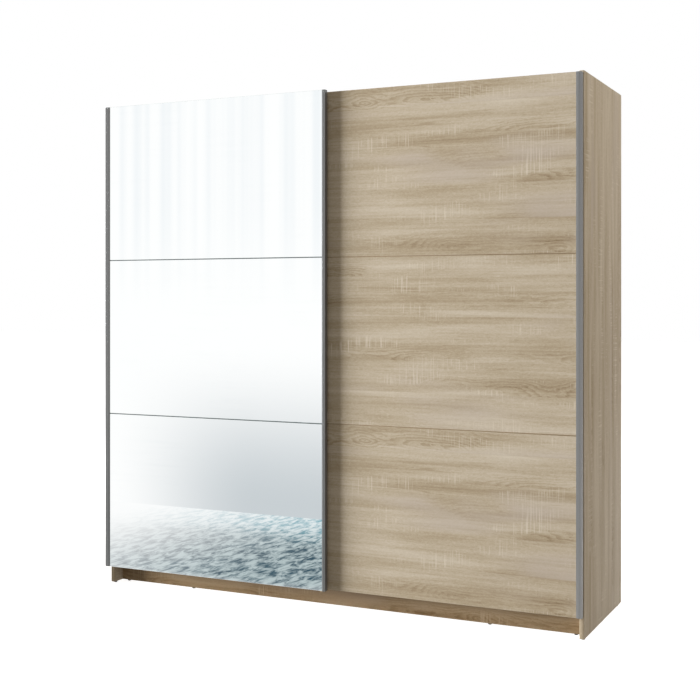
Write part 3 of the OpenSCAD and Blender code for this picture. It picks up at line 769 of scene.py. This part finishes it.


# a glowing sheet, no lamp: a painted reflection of a pleated drape, with painted shade in its pleats and a
# painted shade zone low down
def mirroredDrapeGlow():
    cloth = Recipe("mirroredDrapeGlow", Roughness=1.0, Specular_IOR_Level=0.0)
    x, y, z = cloth.axes()
    pleatShade = cloth.noise(x * (2.2 / studio["pleat"]), z * 0.04, 2.0, 0.45, 0.0, 2.0)
    glow = cloth.blend(pleatShade.ease(0.30, 0.62), (0.92, 0.945, 0.965, 1), (1.02, 1.02, 1.02, 1))
    glow = cloth.blend(z.ease(1.1, 1.9), (1.02, 1.02, 1.02, 1), glow)
    # painted shade: a greyer zone low down, between x -2.4 and -0.3
    shaded = (1 - z.ease(0.05, 1.0)) * x.ease(-2.4, -1.3) * (1 - x.ease(-0.9, -0.3))
    glow = cloth.blend(shaded, glow, tint(203, 209, 213))
    cloth.shader.inputs["Base Color"].default_value = (0, 0, 0, 1)
    cloth.shader.inputs["Emission Strength"].default_value = 1.0
    return cloth.paint(Emission_Color=glow)


# a glowing sheet, no lamp: a painted reflection of a woven rug, fading to white at its edges
def mirroredRugGlow():
    rug = Recipe("mirroredRugGlow", Roughness=1.0, Specular_IOR_Level=0.0)
    x, y, z = rug.axes()
    tuft = rug.noise(x * 24.0, y * 9.0, 3.0, 0.7, 0.4)
    band = rug.noise(x * 2.2 + y * 1.2, y * 3.0, 2.0, 0.5, 0.5, 4.0)
    near = y.ease(-2.0, -1.3)
    deep = rug.blend(tuft.ease(0.34, 0.62), tint(58, 84, 98), tint(184, 198, 200))
    pale = rug.blend(tuft.ease(0.34, 0.62), tint(104, 172, 188), tint(232, 240, 242))
    glow = rug.blend((near * 0.8 + band * 0.4), pale, deep)
    fade = x.ease(-2.2, -0.5) * (1 - x.ease(-0.3, 0.4)) * (1 - y.ease(-0.7, -0.42))
    glow = rug.blend(fade, (1, 1, 1, 1), glow)
    rug.shader.inputs["Base Color"].default_value = (0, 0, 0, 1)
    rug.shader.inputs["Emission Strength"].default_value = 1.0
    return rug.paint(Emission_Color=glow)


def stagePlane(name, centre, size, upright, material, hiddenFrom):  # a sheet of the studio, lying or upright
    bpy.ops.object.select_all(action="DESELECT")
    bpy.ops.mesh.primitive_plane_add(size=1, location=centre)
    sheet = bpy.context.active_object
    sheet.name = name
    sheet.scale = (*size, 1)
    sheet.rotation_euler = (math.radians(90 if upright else 0), 0, 0)
    bpy.ops.object.transform_apply(location=True, rotation=True, scale=True)
    sheet.data.materials.append(material)
    for ray in hiddenFrom:
        setattr(sheet, "visible_" + ray, False)


white = pageWhite()
allButMirror = ("camera", "diffuse", "shadow", "transmission", "volume_scatter")
stagePlane("floor", (0, 0, cadLow.z), (studio["floorSize"], studio["floorSize"]), False, white, ("diffuse",))
drapeX, drapeY, drapeWide, drapeHigh = studio["drape"]
stagePlane("drape", (drapeX, drapeY, drapeHigh / 2), (drapeWide, drapeHigh), True, mirroredDrapeGlow(), allButMirror)
stagePlane("rug", studio["rug"][:3], studio["rug"][3:], False, mirroredRugGlow(), allButMirror)
flagY, flagFar, flagNear, flagTop = studio["flag"]
flagCentre = ((flagFar + flagNear) / 2, flagY, flagTop / 2)
stagePlane("flag", flagCentre, (flagNear - flagFar, flagTop), True, white, ("camera", "diffuse", "glossy"))


def studioWorld():  # a white surround for the camera and the mirror, a dim warm one for the light it gives
    world = bpy.data.worlds.new("studio")
    bpy.context.scene.world = world
    world.use_nodes = True
    sky = world.node_tree
    sky.nodes.clear()
    path = sky.nodes.new("ShaderNodeLightPath")
    shown = sky.nodes.new("ShaderNodeBackground")
    lit = sky.nodes.new("ShaderNodeBackground")
    shown.inputs["Color"].default_value = (1, 1, 1, 1)
    shown.inputs["Strength"].default_value = studio["worldShow"]
    lit.inputs["Color"].default_value = studio["worldTint"]
    lit.inputs["Strength"].default_value = studio["worldLight"]
    mixed = sky.nodes.new("ShaderNodeMixShader")
    out = sky.nodes.new("ShaderNodeOutputWorld")
    sky.links.new(path.outputs["Is Diffuse Ray"], mixed.inputs[0])
    sky.links.new(shown.outputs[0], mixed.inputs[1])
    sky.links.new(lit.outputs[0], mixed.inputs[2])
    sky.links.new(mixed.outputs[0], out.inputs[0])


def softLight(name, place, target, size, power, colour):
    data = bpy.data.lights.new(name, "AREA")
    data.shape = "RECTANGLE"
    data.size, data.size_y = size
    data.energy = power
    data.color = colour
    lamp = bpy.data.objects.new(name, data)
    bpy.context.scene.collection.objects.link(lamp)
    lamp.location = place
    lamp.rotation_euler = (Vector(target) - Vector(place)).to_track_quat("-Z", "Y").to_euler()
    lamp.visible_camera = False
    lamp.visible_glossy = False


warm = (1.0, 0.93, 0.85)
plain = (1.0, 1.0, 1.0)
cool = (1.0, 1.03, 1.09)
lightValues = {  # where it hangs, what it points at, its width and height, its power and its colour
    "windowLight": ((-16.0, -5.0, 1.2), (0.6, -0.3, 1.0), (6.4, 4.6), 9850, cool),
    "roomLight": ((2.4, -5.5, 2.2), (0.8, 0.0, 1.0), (4.0, 3.0), 24, plain),
    "sideLight": ((5.6, 0.7, 3.2), (1.0, 0.0, 1.5), (2.6, 2.4), 76, warm),
    "leftLight": ((-5.6, 0.7, 3.2), (-1.0, 0.0, 1.5), (2.6, 2.4), 90, warm),
    "rearLight": ((-1.0, 5.5, 2.4), (0.0, 0.3, 1.0), (4.0, 3.0), 160, plain),
    "topLight": ((0.0, 0.4, 5.2), (0.0, 0.0, 0.0), (4.0, 3.0), 150, plain),
}
studioWorld()
for lightName, values in lightValues.items():
    softLight(lightName, *values)

cameraValues = {
    "right": 2.1755,     # from the middle of the wardrobe
    "front": 4.3603,     # in front of the side panels' front edges
    "height": 1.2617,
    "yaw": 25.36,        # degrees towards the left
    "lens": 61.77,
    "shiftY": -0.0743,
}
cameraData = bpy.data.cameras.new("camera")
camera = bpy.data.objects.new("camera", cameraData)
bpy.context.scene.collection.objects.link(camera)
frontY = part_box("side_right")[0].y
camera.location = (cameraValues["right"], frontY - cameraValues["front"], cameraValues["height"])
camera.rotation_euler = (math.radians(90), 0, math.radians(cameraValues["yaw"]))
cameraData.sensor_width = 36
cameraData.lens = cameraValues["lens"]
cameraData.shift_y = cameraValues["shiftY"]
cameraData.clip_end = 100
bpy.context.scene.camera = camera
bpy.context.scene.view_settings.view_transform = "Standard"
bpy.context.scene.view_settings.look = "None"

bpy.context.view_layer.update()
print("studio set")
